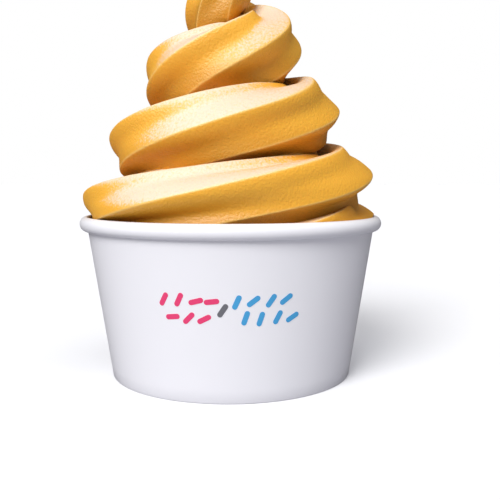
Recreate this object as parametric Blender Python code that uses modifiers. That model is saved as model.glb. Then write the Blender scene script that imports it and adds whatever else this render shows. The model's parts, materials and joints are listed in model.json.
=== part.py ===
"""Frozen yogurt cup: a white paper cup with a rolled rim, filled with a tall piped swirl.

Units are metres with +Z up. The origin is on the table at the middle of the cup's foot,
-Y is the front and +X is the right. The swirl is one long rope with six ridges, as a star
nozzle makes it. It winds up the cup counter-clockwise seen from above, one tier a turn.
"""

import math

import bmesh
import bpy
import numpy as np
from mathutils import Vector

MM = 0.001
COLLECTION = "frozen_yogurt_cup"
HELPERS = "frozen_yogurt_cup_helpers"

# Clear gap between pieces that touch in the real cup
GAP = 0.3 * MM
# The filling stays this much inside the trimmed rope, so that their faces don't coincide
TRIM_STEP = 0.05 * MM
# Points of the joined swirl closer than this are one point
WELD = 0.005 * MM
TURNED_STEPS = 60

# Paper cup
CUP_HEIGHT = 50.7 * MM
RIM_RADIUS = 48.0 * MM
WALL_RADIUS_AT_TABLE = 38.5 * MM
WALL_RADIUS_AT_RIM = 45.5 * MM
WALL_TOP = 46.4 * MM
PAPER = 0.6 * MM
ROLL_HALF_WIDTH = 2.0 * MM
ROLL_HALF_HEIGHT = 2.2 * MM
ROLL_END_DEG = -97.0
ROLL_STEPS = 10
LIP_HEIGHT = 1.44 * MM
LIP_STEPS = 4
BASE_HEIGHT = 7.0 * MM
FLAP_HEIGHT = 5.5 * MM

# Swirl: the rope's middle line and size at every half turn, from the cup's left side up
HALF_TURN = 0.5
COIL_RADIUS = [r * MM for r in (42.0, 36.5, 37.3, 33.4, 28.3, 23.0, 17.3, 10.4, 5.4, 2.6, 4.0)]
COIL_HEIGHT = [z * MM for z in (31.5, 44.8, 51.7, 62.3, 72.5, 82.9, 93.4, 104.6, 116.0, 132.0, 147.0)]
ROPE_RADIUS = [a * MM for a in (10.0, 11.3, 11.3, 11.3, 11.1, 11.0, 11.3, 11.4, 9.1, 5.2, 0.3)]
TWIST_DEG = (-368.0, -264.0, -99.6, 17.6, 128.5, 254.1, 389.7, 542.6, 725.0, 905.0, 1085.0)
TOP_PRESS = (0.0, 0.0, 0.16, 0.04, 0.16, -0.05, 0.14, 0.0, 0.0, 0.0, 0.0)
LOW_PRESS = (0.0, 0.0, 0.25, 0.14, 0.0, 0.0, 0.0, 0.0, 0.0, 0.0, 0.0)
LEAN_DEG = (0.0, 0.0, 0.0, 14.0, 0.0, 20.0, 0.0, 12.0, 0.0, 0.0, 0.0)
COIL_OFFSET_X = 0.4 * MM
FIRST_TURN = 0.12
LAST_TURN = 4.85
STEPS_PER_TURN = 36

# Rope section: six ridges, crisp on top and softer underneath. A phase is a share of the way
# from one ridge up to the next, and a groove's floor shifts away from the outermost ridge. The
# section is pressed flat against the swirl's middle, under the tier above and near the rim. Its
# upper ridges lean inwards. Its underside sags down to the tier below, flattened where it
# rests. Angles start outwards, and 90 is up.
RIDGES = 6
GROOVE_PHASE = 0.5
GROOVE_SHIFT = 0.22
GROOVE_DEPTH = 0.22
SOFT_UNDERSIDE = 0.5
REST_FLATNESS = 0.8
ROPE_TALLNESS = 1.04
INNER_PRESS = 0.3
INNER_PRESS_SPREAD = 80.0
CLOSED_AT = 0.6
TOP_PRESS_ANGLE = 85.0
TOP_PRESS_SPREAD = 60.0
LOW_PRESS_ANGLE = -30.0
LOW_PRESS_SPREAD = 45.0
LEAN_ANGLE = 75.0
LEAN_SPREAD = 55.0
SAG_SPREAD = 60.0
SAG_INWARDS = 30.0
SAG_MOST = 0.4
SAG_LAST_TURN = 4.3
TIER_GAP = 0.5 * MM
SHARP_DEG = 42.0

# Web: the narrow strip along which neighbouring tiers have run together
WEB_LAST_TURN = 3.0
WEB_SHARE = 0.3
WEB_INSET = 5.0 * MM
WEB_SIDES = 8

# Filling under the tiers: its level in the cup, and a core that closes the swirl's middle
FILL_LEVEL = 45.5 * MM
FILL_LEDGE = 1.0 * MM
CORE_SPREAD = -0.15
CORE_TOP_TURN = 3.9
CORE_POINT_TURN = 4.0
CORE_STEPS = 16

# How far the trimming cutter reaches beyond the rim
CUTTER_REACH = 12.0 * MM


def smooth_curve(values):
    """Return a function of the turn: the natural cubic curve through half-turn values."""
    knots = np.array(values, dtype=float)
    count = len(knots)
    system = np.eye(count)
    bends = np.zeros(count)
    for i in range(1, count - 1):
        system[i, i - 1:i + 2] = (1.0, 4.0, 1.0)
        bends[i] = 6.0 * (knots[i + 1] - 2.0 * knots[i] + knots[i - 1])
    bends = np.linalg.solve(system, bends)

    def value_at(turn):
        place = turn / HALF_TURN
        i = min(max(int(place), 0), count - 2)
        after = place - i
        before = 1.0 - after
        bend = (before**3 - before) * bends[i] + (after**3 - after) * bends[i + 1]
        return before * knots[i] + after * knots[i + 1] + bend / 6.0

    return value_at


coil_radius = smooth_curve(COIL_RADIUS)
coil_height = smooth_curve(COIL_HEIGHT)
rope_radius = smooth_curve(ROPE_RADIUS)
twist_deg = smooth_curve(TWIST_DEG)
top_press = smooth_curve(TOP_PRESS)
low_press = smooth_curve(LOW_PRESS)
lean_deg = smooth_curve(LEAN_DEG)


def rope_centre(turn):
    """Return the point of the rope's middle line at a turn; whole turns are on the left."""
    heading = math.pi * (1.0 + 2.0 * turn)
    reach = coil_radius(turn)
    return Vector((COIL_OFFSET_X + reach * math.cos(heading), reach * math.sin(heading), coil_height(turn)))


def rope_axes(turn):
    """Return the rope's outward and upward directions at a turn, square to its middle line."""
    heading = math.pi * (1.0 + 2.0 * turn)
    outward = Vector((math.cos(heading), math.sin(heading), 0.0))
    small = 0.001
    tangent = (rope_centre(turn + small) - rope_centre(turn - small)).normalized()
    outward = (outward - tangent * outward.dot(tangent)).normalized()
    return outward, outward.cross(tangent)


def bump(angle_deg, middle_deg, spread_deg):
    """Return a smooth hump of height one round a middle angle, and zero beyond its spread."""
    away = (angle_deg - middle_deg + 180.0) % 360.0 - 180.0
    if abs(away) >= spread_deg:
        return 0.0
    return math.cos(0.5 * math.pi * away / spread_deg) ** 2


def rope_sag(turn):
    """Return how far the underside sags, as a share of the radius, and its angle in degrees."""
    if turn < 1.0:
        return 0.0, -90.0
    across = coil_radius(turn - 1.0) - coil_radius(turn)
    down = coil_height(turn) - coil_height(turn - 1.0)
    spare = math.hypot(across, down) - rope_radius(turn) - rope_radius(turn - 1.0) - TIER_GAP
    share = min(max(spare / rope_radius(turn), 0.0), SAG_MOST)
    share *= min(max((SAG_LAST_TURN - turn) / HALF_TURN, 0.0), 1.0)
    return share, -math.degrees(math.atan2(down, across)) - SAG_INWARDS


def inner_press(turn):
    """Return how flat the rope's inner side lies, which fades where the coil closes up."""
    openness = coil_radius(turn) / rope_radius(turn)
    return INNER_PRESS * min(max((openness - CLOSED_AT) / CLOSED_AT, 0.0), 1.0)


def flank_depth(to_floor, softness):
    """Return how deep a ridge's flank lies, as a share of the rope's radius.

    The flank leaves the crest at a crisp angle where softness is 0, and rounded where it is 1.
    """
    crisp = to_floor * (2.0 - to_floor)
    soft = math.sin(0.5 * math.pi * to_floor) ** 2
    return GROOVE_DEPTH * (crisp + softness * (soft - crisp))


def groove_points(middle_deg):
    """Return (phase, depth) from a crest over the groove's floor to just below the next crest."""
    floor = GROOVE_PHASE + GROOVE_SHIFT * math.sin(math.radians(middle_deg))
    return [(0.0, 0.0), (0.5 * floor, flank_depth(0.5, 0.0)), (floor, flank_depth(1.0, 0.0)),
            (0.5 * (1.0 + floor), flank_depth(0.5, SOFT_UNDERSIDE))]


def rope_section(turn):
    """Return one closed ring of points round the rope, starting on a ridge."""
    centre = rope_centre(turn)
    outward, upward = rope_axes(turn)
    radius = rope_radius(turn)
    sag, sag_deg = rope_sag(turn)
    ring = []
    for ridge in range(RIDGES):
        for phase, depth in groove_points(twist_deg(turn) + 360.0 * (ridge + 0.5) / RIDGES):
            angle_deg = twist_deg(turn) + 360.0 * (ridge + phase) / RIDGES
            angle_deg += lean_deg(turn) * bump(angle_deg, LEAN_ANGLE, LEAN_SPREAD)
            rest = bump(angle_deg, sag_deg, SAG_SPREAD)
            size = 1.0 - depth * (1.0 - REST_FLATNESS * rest)
            size -= inner_press(turn) * bump(angle_deg, 180.0, INNER_PRESS_SPREAD)
            size -= top_press(turn) * bump(angle_deg, TOP_PRESS_ANGLE, TOP_PRESS_SPREAD)
            size -= low_press(turn) * bump(angle_deg, LOW_PRESS_ANGLE, LOW_PRESS_SPREAD)
            size += sag * rest
            across = radius * size * math.cos(math.radians(angle_deg))
            up = radius * size * ROPE_TALLNESS * math.sin(math.radians(angle_deg))
            ring.append(centre + outward * across + upward * up)
    return ring


def web_section(turn):
    """Return one ring of points round the web between this turn's tier and the next one up."""
    heading = math.pi * (1.0 + 2.0 * turn)
    outward = Vector((math.cos(heading), math.sin(heading), 0.0))
    centre = (rope_centre(turn) + rope_centre(turn + 1.0)) / 2.0 - outward * WEB_INSET
    radius = WEB_SHARE * rope_radius(turn)
    ring = []
    for j in range(WEB_SIDES):
        angle = 2.0 * math.pi * j / WEB_SIDES
        upward = Vector((0.0, 0.0, radius * math.sin(angle)))
        ring.append(centre + outward * radius * math.cos(angle) + upward)
    return ring


def get_collection(name):
    """Return a new collection in the scene."""
    collection = bpy.data.collections.new(name)
    bpy.context.scene.collection.children.link(collection)
    return collection


def make_material(name, color, roughness):
    """Return a Principled material of one colour."""
    material = bpy.data.materials.new(name)
    material.use_nodes = True
    shader = material.node_tree.nodes["Principled BSDF"]
    shader.inputs["Base Color"].default_value = (*color, 1.0)
    shader.inputs["Roughness"].default_value = roughness
    shader.inputs["Metallic"].default_value = 0.0
    return material


def add_object(name, mesh, collection):
    """Return a new object with this mesh in a collection."""
    thing = bpy.data.objects.new(name, mesh)
    collection.objects.link(thing)
    return thing


def turned_object(name, profile, collection):
    """Return an object turned about the cup's axis from a closed profile of (radius, height)."""
    mesh = bpy.data.meshes.new(name)
    corners = [(radius, 0.0, height) for radius, height in profile]
    on_axis = profile[0][0] == 0.0 and profile[-1][0] == 0.0
    edges = [(i, i + 1) for i in range(len(corners) - 1)]
    if not on_axis:
        edges.append((len(corners) - 1, 0))
    mesh.from_pydata(corners, edges, [])
    thing = add_object(name, mesh, collection)
    screw = thing.modifiers.new("Turn", "SCREW")
    screw.steps = TURNED_STEPS
    screw.render_steps = TURNED_STEPS
    screw.use_merge_vertices = True
    screw.merge_threshold = 0.00001
    screw.use_smooth_shade = True
    return thing


def apply_modifiers(thing):
    """Turn an object's evaluated shape into its plain mesh."""
    bpy.context.view_layer.update()
    evaluated = thing.evaluated_get(bpy.context.evaluated_depsgraph_get())
    mesh = bpy.data.meshes.new_from_object(evaluated)
    thing.modifiers.clear()
    thing.data = mesh


def keep_outer_skin(thing):
    """Fill the hollows that the union sealed, and drop loose scraps: only the outer skin stays."""
    shape = bmesh.new()
    shape.from_mesh(thing.data)
    bmesh.ops.remove_doubles(shape, verts=shape.verts, dist=WELD)
    bmesh.ops.dissolve_degenerate(shape, edges=shape.edges, dist=WELD)
    unseen = set(shape.faces)
    skins = []
    while unseen:
        skin = {unseen.pop()}
        edge_of_skin = list(skin)
        while edge_of_skin:
            face = edge_of_skin.pop()
            for edge in face.edges:
                for other in edge.link_faces:
                    if other in unseen:
                        unseen.remove(other)
                        skin.add(other)
                        edge_of_skin.append(other)
        skins.append(skin)
    outer = max(skins, key=lambda skin: sum(face.calc_area() for face in skin))
    inner = [face for skin in skins if skin is not outer for face in skin]
    bmesh.ops.delete(shape, geom=inner, context="FACES")
    shape.to_mesh(thing.data)
    shape.free()


def wall_radius(height):
    """Return the wall's outer radius at a height above the table."""
    slope = (WALL_RADIUS_AT_RIM - WALL_RADIUS_AT_TABLE) / WALL_TOP
    return WALL_RADIUS_AT_TABLE + slope * height


def arc(middle, half_width, half_height, start_deg, end_deg, steps):
    """Return points along an oval arc of (radius, height)."""
    points = []
    for i in range(steps + 1):
        angle = math.radians(start_deg + (end_deg - start_deg) * i / steps)
        points.append((middle[0] + half_width * math.cos(angle), middle[1] + half_height * math.sin(angle)))
    return points


def roll_middle():
    """Return the middle of the rolled rim's section as (radius, height)."""
    return RIM_RADIUS - ROLL_HALF_WIDTH, CUP_HEIGHT - ROLL_HALF_HEIGHT


def inner_lip(clearance):
    """Return the lip's inner rounding, from the rim's top down to the wall's inner face."""
    middle_radius, _ = roll_middle()
    wall_inner = wall_radius(CUP_HEIGHT - LIP_HEIGHT) - PAPER
    middle = (middle_radius, CUP_HEIGHT - LIP_HEIGHT)
    half_width = middle_radius - wall_inner + clearance
    return arc(middle, half_width, LIP_HEIGHT + clearance, 90.0, 180.0, LIP_STEPS)


def build_cup_wall(collection, material):
    """Make the side wall with its rolled rim and the foot folded up inside the base's skirt."""
    middle = roll_middle()
    roll = arc(middle, ROLL_HALF_WIDTH, ROLL_HALF_HEIGHT, 90.0, ROLL_END_DEG, ROLL_STEPS)
    channel = PAPER + 2.0 * GAP
    foot_inner = wall_radius(0.0) - PAPER - channel - PAPER
    flap_inner = wall_radius(FLAP_HEIGHT) - PAPER - channel - PAPER
    foot = [(wall_radius(0.0), 0.0), (foot_inner, 0.0), (flap_inner, FLAP_HEIGHT),
            (flap_inner + PAPER, FLAP_HEIGHT), (foot_inner + PAPER, PAPER),
            (wall_radius(PAPER) - PAPER, PAPER)]
    inside = list(reversed(inner_lip(0.0)))
    profile = roll + [(wall_radius(WALL_TOP), WALL_TOP)] + foot + inside[:-1]
    wall = turned_object("cup_wall", profile, collection)
    wall.data.materials.append(material)
    return wall


def build_cup_base(collection, material):
    """Make the recessed base disc with its skirt, which sits between the wall and its flap."""
    skirt_foot = PAPER + GAP
    outer_top = wall_radius(BASE_HEIGHT) - PAPER - GAP
    outer_foot = wall_radius(skirt_foot) - PAPER - GAP
    underside = BASE_HEIGHT - PAPER
    profile = [(0.0, BASE_HEIGHT), (outer_top, BASE_HEIGHT), (outer_foot, skirt_foot),
               (outer_foot - PAPER, skirt_foot), (wall_radius(underside) - 2.0 * PAPER - GAP, underside),
               (0.0, underside)]
    base = turned_object("cup_base", profile, collection)
    base.data.materials.append(material)
    return base


def swept_object(name, section, start, end, collection):
    """Join the closed sections from one turn to another into one solid with flat ends."""
    steps = round((end - start) * STEPS_PER_TURN)
    shape = bmesh.new()
    rings = []
    for i in range(steps + 1):
        points = section(start + (end - start) * i / steps)
        rings.append([shape.verts.new(point) for point in points])
    count = len(rings[0])
    for ring, after in zip(rings, rings[1:]):
        for j in range(count):
            k = (j + 1) % count
            shape.faces.new((ring[j], ring[k], after[k], after[j]))
    shape.faces.new(list(reversed(rings[0])))
    shape.faces.new(rings[-1])
    bmesh.ops.recalc_face_normals(shape, faces=shape.faces)
    mesh = bpy.data.meshes.new(name)
    shape.to_mesh(mesh)
    shape.free()
    return add_object(name, mesh, collection)


def filling(collection):
    """Make the filling in the cup with the core that rises inside the tiers."""
    clear = PAPER + GAP + TRIM_STEP
    outside = wall_radius(FILL_LEVEL) - clear
    foot = wall_radius(BASE_HEIGHT) - clear
    profile = [(0.0, coil_height(CORE_POINT_TURN))]
    first_turn = next(t / 100.0 for t in range(100) if coil_height(t / 100.0) > FILL_LEVEL)
    for i in range(CORE_STEPS + 1):
        turn = CORE_TOP_TURN + (first_turn - CORE_TOP_TURN) * i / CORE_STEPS
        radius = coil_radius(turn) + CORE_SPREAD * rope_radius(turn)
        profile.append((min(radius, outside - FILL_LEDGE), coil_height(turn)))
    profile += [(outside, FILL_LEVEL), (foot, BASE_HEIGHT + GAP), (0.0, BASE_HEIGHT + GAP)]
    return turned_object("filling", profile, collection)


def cup_clearance(collection):
    """Make the turned cutter that keeps the yogurt clear of the wall and the rolled rim."""
    low = 0.5 * BASE_HEIGHT
    beyond = RIM_RADIUS + CUTTER_REACH
    lip = list(reversed(inner_lip(GAP)))
    profile = [(beyond, CUP_HEIGHT + GAP), (beyond, low), (wall_radius(low) - PAPER - GAP, low)] + lip
    cutter = turned_object("cup_clearance", profile, collection)
    cutter.hide_render = True
    cutter.display_type = "WIRE"
    return cutter


def build_yogurt(collection, helpers, material):
    """Join the filling and the rope's lengths into one solid and trim it to the cup."""
    lengths = get_collection("swirl_lengths")
    swept_object("rope", rope_section, FIRST_TURN, LAST_TURN, lengths)
    swept_object("web", web_section, FIRST_TURN, WEB_LAST_TURN, lengths)
    yogurt = filling(collection)
    yogurt.name = "yogurt"
    apply_modifiers(yogurt)
    union = yogurt.modifiers.new("Join", "BOOLEAN")
    union.operation = "UNION"
    union.solver = "MANIFOLD"
    union.operand_type = "COLLECTION"
    union.collection = lengths
    apply_modifiers(yogurt)
    for length in list(lengths.objects):
        bpy.data.objects.remove(length)
    bpy.data.collections.remove(lengths)
    trim = yogurt.modifiers.new("Trim", "BOOLEAN")
    trim.operation = "DIFFERENCE"
    trim.solver = "MANIFOLD"
    trim.object = cup_clearance(helpers)
    apply_modifiers(yogurt)
    keep_outer_skin(yogurt)
    yogurt.data.shade_smooth()
    yogurt.data.set_sharp_from_angle(angle=math.radians(SHARP_DEG))
    yogurt.data.materials.clear()
    yogurt.data.materials.append(material)
    return yogurt


def main():
    """Clear the scene and build the cup with its yogurt."""
    for thing in list(bpy.data.objects):
        bpy.data.objects.remove(thing)
    collection = get_collection(COLLECTION)
    helpers = get_collection(HELPERS)
    paper = make_material("white_paper", (0.86, 0.86, 0.88), 0.45)
    golden = make_material("golden_yogurt", (0.86, 0.45, 0.07), 0.5)
    build_cup_wall(collection, paper)
    build_cup_base(collection, paper)
    build_yogurt(collection, helpers, golden)


main()
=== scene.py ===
"""Frozen yogurt cup: the looks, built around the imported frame.

Units are metres with +Z up. The cup stands at the origin, -Y is the photographed side and +X
is its right. The swirl is one long rope with six ridges that winds up counter-clockwise, seen
from above. A turn is a share of its way up: whole turns lie on the cup's left side.
"""

from __future__ import annotations

import json
import logging
import math
from collections.abc import Callable, Sequence
from dataclasses import dataclass, field, fields, replace
from enum import Enum

import bmesh
import bpy
import numpy as np
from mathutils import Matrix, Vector
from mathutils.bvhtree import BVHTree

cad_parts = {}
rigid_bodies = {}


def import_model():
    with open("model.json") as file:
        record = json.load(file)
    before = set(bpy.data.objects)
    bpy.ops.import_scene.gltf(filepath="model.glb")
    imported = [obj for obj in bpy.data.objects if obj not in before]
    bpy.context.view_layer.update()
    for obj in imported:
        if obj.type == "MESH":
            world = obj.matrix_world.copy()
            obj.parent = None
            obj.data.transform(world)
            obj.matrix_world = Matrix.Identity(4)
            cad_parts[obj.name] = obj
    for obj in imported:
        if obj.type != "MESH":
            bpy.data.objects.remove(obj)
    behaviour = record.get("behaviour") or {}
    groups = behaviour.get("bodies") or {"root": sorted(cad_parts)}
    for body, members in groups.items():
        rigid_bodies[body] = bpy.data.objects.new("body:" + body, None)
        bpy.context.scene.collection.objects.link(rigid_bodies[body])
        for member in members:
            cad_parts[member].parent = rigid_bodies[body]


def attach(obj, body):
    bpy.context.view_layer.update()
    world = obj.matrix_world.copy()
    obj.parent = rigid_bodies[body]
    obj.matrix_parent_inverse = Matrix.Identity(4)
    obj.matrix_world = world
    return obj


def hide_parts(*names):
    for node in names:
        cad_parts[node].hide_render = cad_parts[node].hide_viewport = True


for leftover in list(bpy.data.objects):
    bpy.data.objects.remove(leftover)
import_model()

log = logging.getLogger("frozen_yogurt_cup")

MM = 0.001
BODY = "root"
POINT_WELD = 0.0001 * MM
GOLDEN_SHARE = 3.0 - math.sqrt(5.0)
INK_CLOUD_SHADE = 0.9
Color = tuple[float, float, float]
Profile = list[tuple[float, float]]


def mm(*values: float) -> tuple[float, ...]:
    """Return millimetre values in metres."""
    return tuple(value * MM for value in values)


def held(value: float, most: float = 1.0) -> float:
    """Return a value held between zero and its most."""
    return min(max(value, 0.0), most)


def screen_color(red: int, green: int, blue: int) -> Color:
    """Return the linear colour of a colour given in 0 to 255 as a screen shows it.

    Args:
        red: The red part.
        green: The green part.
        blue: The blue part.

    Returns:
        The three parts in linear light.
    """
    linear = []
    for part in (red, green, blue):
        share = part / 255.0
        linear.append(share / 12.92 if share <= 0.04045 else ((share + 0.055) / 1.055) ** 2.4)
    return linear[0], linear[1], linear[2]


class SmoothCurve:
    """The natural cubic curve through values that stand half a turn apart."""

    SPACING = 0.5

    def __init__(self, values: Sequence[float]) -> None:
        """Solve for the curve's bend at each value.

        Args:
            values: The values to pass through, the first at turn zero.
        """
        self.knots = np.array(values, dtype=float)
        count = len(self.knots)
        system = np.eye(count)
        bends = np.zeros(count)
        for i in range(1, count - 1):
            system[i, i - 1:i + 2] = (1.0, 4.0, 1.0)
            bends[i] = 6.0 * (self.knots[i + 1] - 2.0 * self.knots[i] + self.knots[i - 1])
        self.bends = np.linalg.solve(system, bends)

    def __call__(self, turn: float) -> float:
        """Return the curve's value at a turn.

        Args:
            turn: The place along the curve, from zero.

        Returns:
            The value.
        """
        place = turn / self.SPACING
        i = min(max(int(place), 0), len(self.knots) - 2)
        after = place - i
        before = 1.0 - after
        bend = (before**3 - before) * self.bends[i] + (after**3 - after) * self.bends[i + 1]
        return float(before * self.knots[i] + after * self.knots[i + 1] + bend / 6.0)


class Term:
    """An output socket in a node tree. Sums with numbers' sockets are written as in Python."""

    def __init__(self, sheet: NodeSheet, socket: bpy.types.NodeSocket) -> None:
        """Keep the sheet and the socket."""
        self.sheet = sheet
        self.socket = socket

    def __add__(self, other: object) -> Term:
        """Return this plus another."""
        return self.sheet.maths("ADD", self, other)

    def __radd__(self, other: object) -> Term:
        """Return another plus this."""
        return self.sheet.maths("ADD", other, self)

    def __sub__(self, other: object) -> Term:
        """Return this less another."""
        return self.sheet.maths("SUBTRACT", self, other)

    def __rsub__(self, other: object) -> Term:
        """Return another less this."""
        return self.sheet.maths("SUBTRACT", other, self)

    def __mul__(self, other: object) -> Term:
        """Return this times another."""
        return self.sheet.maths("MULTIPLY", self, other)

    def __truediv__(self, other: object) -> Term:
        """Return this over another."""
        return self.sheet.maths("DIVIDE", self, other)

    def __rtruediv__(self, other: object) -> Term:
        """Return another over this."""
        return self.sheet.maths("DIVIDE", other, self)


class NodeSheet:
    """A node tree being written: it adds nodes, joins sockets and does sums with them."""

    NOISE_ROUGHNESS = 0.55

    def __init__(self, tree: bpy.types.NodeTree) -> None:
        """Keep the tree that is written."""
        self.tree = tree

    def add(self, kind: str, inputs: dict | None = None, **settings: object) -> bpy.types.Node:
        """Add a node.

        Args:
            kind: The node's type name.
            inputs: What goes into its sockets, by name or number: a term, a socket or a plain value.
            **settings: The node's own properties.

        Returns:
            The new node.
        """
        node = self.tree.nodes.new(kind)
        for name, value in settings.items():
            setattr(node, name, value)
        for name, value in (inputs or {}).items():
            self.feed(node.inputs[name], value)
        return node

    def feed(self, socket: bpy.types.NodeSocket, value: object) -> None:
        """Join a socket to another one, or set its plain value.

        Args:
            socket: The input socket.
            value: A term, an output socket or a value.
        """
        value = value.socket if isinstance(value, Term) else value
        if isinstance(value, bpy.types.NodeSocket):
            self.tree.links.new(value, socket)
        else:
            socket.default_value = value

    def terms(self, kind: str, inputs: dict | None = None, **settings: object) -> dict[str, Term]:
        """Add a node, as add does, and return its outputs as terms, by name."""
        return {socket.name: Term(self, socket) for socket in self.add(kind, inputs, **settings).outputs}

    def maths(self, operation: str, *values: object) -> Term:
        """Add a Math node and return its result, given its operation and its terms or numbers."""
        node = self.add("ShaderNodeMath", dict(enumerate(values)), operation=operation)
        return Term(self, node.outputs[0])

    def smooth_step(self, value: object, start: object, end: object, most: float = 1.0) -> Term:
        """Return a term that goes smoothly from zero at a start to its most at an end.

        Args:
            value: The term that is looked at.
            start: Its value at which the step begins.
            end: Its value at which the step is full.
            most: The height of the step.

        Returns:
            The step.
        """
        node = self.add("ShaderNodeMapRange", {"Value": value, "From Min": start, "From Max": end,
                                               "To Min": 0.0, "To Max": most},
                        interpolation_type="SMOOTHSTEP")
        return Term(self, node.outputs["Result"])

    def mix(self, share: object, first: object, second: object) -> bpy.types.NodeSocket:
        """Return the colour socket of two colours mixed by the second one's share.

        Args:
            share: The second colour's share.
            first: The first colour.
            second: The second colour.

        Returns:
            The socket of the mixed colour.
        """
        node = self.add("ShaderNodeMix", data_type="RGBA")
        for number, value in ((0, share), (6, first), (7, second)):
            self.feed(node.inputs[number], value)
        return node.outputs[2]

    def scaled(self, vector: object, factor: object) -> bpy.types.NodeSocket:
        """Return a vector's socket times a factor."""
        node = self.add("ShaderNodeVectorMath", {"Scale": factor}, operation="SCALE")
        self.feed(node.inputs[0], vector)
        return node.outputs["Vector"]

    def vector_sum(self, first: object, second: object) -> bpy.types.NodeSocket:
        """Return the socket of two vectors' sum."""
        return self.add("ShaderNodeVectorMath", {0: first, 1: second}, operation="ADD").outputs["Vector"]

    def noise(self, vector: object, scale: object, detail: float, seed: object = 0.0) -> Term:
        """Add a noise field that changes with a seed.

        Args:
            vector: Where the noise is read.
            scale: Its features to the metre.
            detail: How many finer layers it has.
            seed: A number that picks another field.

        Returns:
            Its value, about 0.5 on average.
        """
        node = self.add("ShaderNodeTexNoise", {"Vector": vector, "W": seed, "Scale": scale, "Detail": detail,
                                               "Roughness": self.NOISE_ROUGHNESS}, noise_dimensions="4D")
        return Term(self, node.outputs[0])


def new_tree(name: str, kind: str, inputs: dict[str, str],
             outputs: dict[str, str]) -> bpy.types.NodeTree:
    """Start a node group.

    Args:
        name: The group's name.
        kind: GeometryNodeTree or ShaderNodeTree.
        inputs: The named input sockets, each with its type, such as Float.
        outputs: The named output sockets, in the same way.

    Returns:
        The group, with sockets and no nodes.
    """
    tree = bpy.data.node_groups.new(name, kind)
    for sockets, in_out in ((inputs, "INPUT"), (outputs, "OUTPUT")):
        for label, short_type in sockets.items():
            tree.interface.new_socket(label, in_out=in_out, socket_type="NodeSocket" + short_type)
    return tree


def new_object(name: str, data: bpy.types.ID) -> bpy.types.Object:
    """Return a new object at the origin in the scene."""
    thing = bpy.data.objects.new(name, data)
    bpy.context.scene.collection.objects.link(thing)
    return thing


def shaped_mesh(thing: bpy.types.Object) -> bpy.types.Mesh:
    """Return a new mesh as an object's modifiers shape it, and remove the modifiers.

    Args:
        thing: The object, whose own mesh stays as it is.

    Returns:
        The new mesh.
    """
    bpy.context.view_layer.update()
    evaluated = thing.evaluated_get(bpy.context.evaluated_depsgraph_get())
    mesh = bpy.data.meshes.new_from_object(evaluated)
    thing.modifiers.clear()
    return mesh


def run_nodes(name: str, guide: bpy.types.Mesh, tree: bpy.types.NodeTree,
              inputs: dict) -> bpy.types.Mesh:
    """Run a geometry node tree on a guide mesh and keep its result as a plain mesh.

    Args:
        name: The new mesh's name.
        guide: The mesh that goes in.
        tree: The geometry node tree.
        inputs: The values of the tree's named inputs.

    Returns:
        The resulting mesh, with its faces pointing outwards and no modifier left.
    """
    carrier = new_object(name + "_guide", guide)
    modifier = carrier.modifiers.new("Nodes", "NODES")
    modifier.node_group = tree
    for item in tree.interface.items_tree:
        if item.item_type == "SOCKET" and item.in_out == "INPUT" and item.name in inputs:
            modifier[item.identifier] = inputs[item.name]
    mesh = shaped_mesh(carrier)
    mesh.name = name
    bpy.data.objects.remove(carrier)
    shape = bmesh.new()
    shape.from_mesh(mesh)
    return closed_mesh(shape, mesh)


def closed_mesh(shape: bmesh.types.BMesh, mesh: bpy.types.Mesh) -> bpy.types.Mesh:
    """Point a closed shape's faces outwards, write it into a mesh and return the mesh.

    Args:
        shape: The closed shape, which is used up.
        mesh: The mesh that it goes into.

    Returns:
        The mesh.
    """
    bmesh.ops.recalc_face_normals(shape, faces=shape.faces)
    shape.to_mesh(mesh)
    shape.free()
    return mesh


def smooth(mesh: bpy.types.Mesh, sharp_deg: float) -> None:
    """Shade a mesh smooth but keep edges sharper than an angle crisp.

    Args:
        mesh: The mesh to shade.
        sharp_deg: The angle in degrees past which an edge stays sharp.
    """
    mesh.shade_smooth()
    mesh.set_sharp_from_angle(angle=math.radians(sharp_deg))


def turned_mesh(name: str, profile: Profile, steps: int,
                bulge: Callable[[float, float], float] | None = None) -> bpy.types.Mesh:
    """Turn a closed profile about the cup's axis.

    Args:
        name: The new mesh's name.
        profile: Points of (radius, height) round the section.
        steps: How many sides a full turn has.
        bulge: Returns how far a point moves outwards, from its angle in degrees and its height.

    Returns:
        A closed mesh whose faces point outwards.
    """
    shape = bmesh.new()
    columns = []
    for i in range(steps):
        angle = 2.0 * math.pi * i / steps
        column = []
        for radius, height in profile:
            reach = radius + (bulge(math.degrees(angle), height) if bulge and radius > 0.0 else 0.0)
            place = (reach * math.cos(angle), reach * math.sin(angle), height)
            column.append(shape.verts.new(place))
        columns.append(column)
    count = len(profile)
    for i, column in enumerate(columns):
        following = columns[(i + 1) % steps]
        for j in range(count):
            k = (j + 1) % count
            if profile[j][0] > 0.0 or profile[k][0] > 0.0:
                shape.faces.new((column[j], following[j], following[k], column[k]))
    bmesh.ops.remove_doubles(shape, verts=shape.verts, dist=POINT_WELD)
    return closed_mesh(shape, bpy.data.meshes.new(name))


def upward_rays(count: int) -> list[Vector]:
    """Spread directions over the upper half of a ball, closer together near its top.

    Args:
        count: How many directions there are.

    Returns:
        The directions, each of length one.
    """
    rays = []
    for i in range(count):
        rise = math.sqrt((i + 0.5) / count)
        angle = i * math.pi * GOLDEN_SHARE
        flat = math.sqrt(1.0 - rise * rise)
        rays.append(Vector((flat * math.cos(angle), flat * math.sin(angle), rise)))
    return rays


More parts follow.
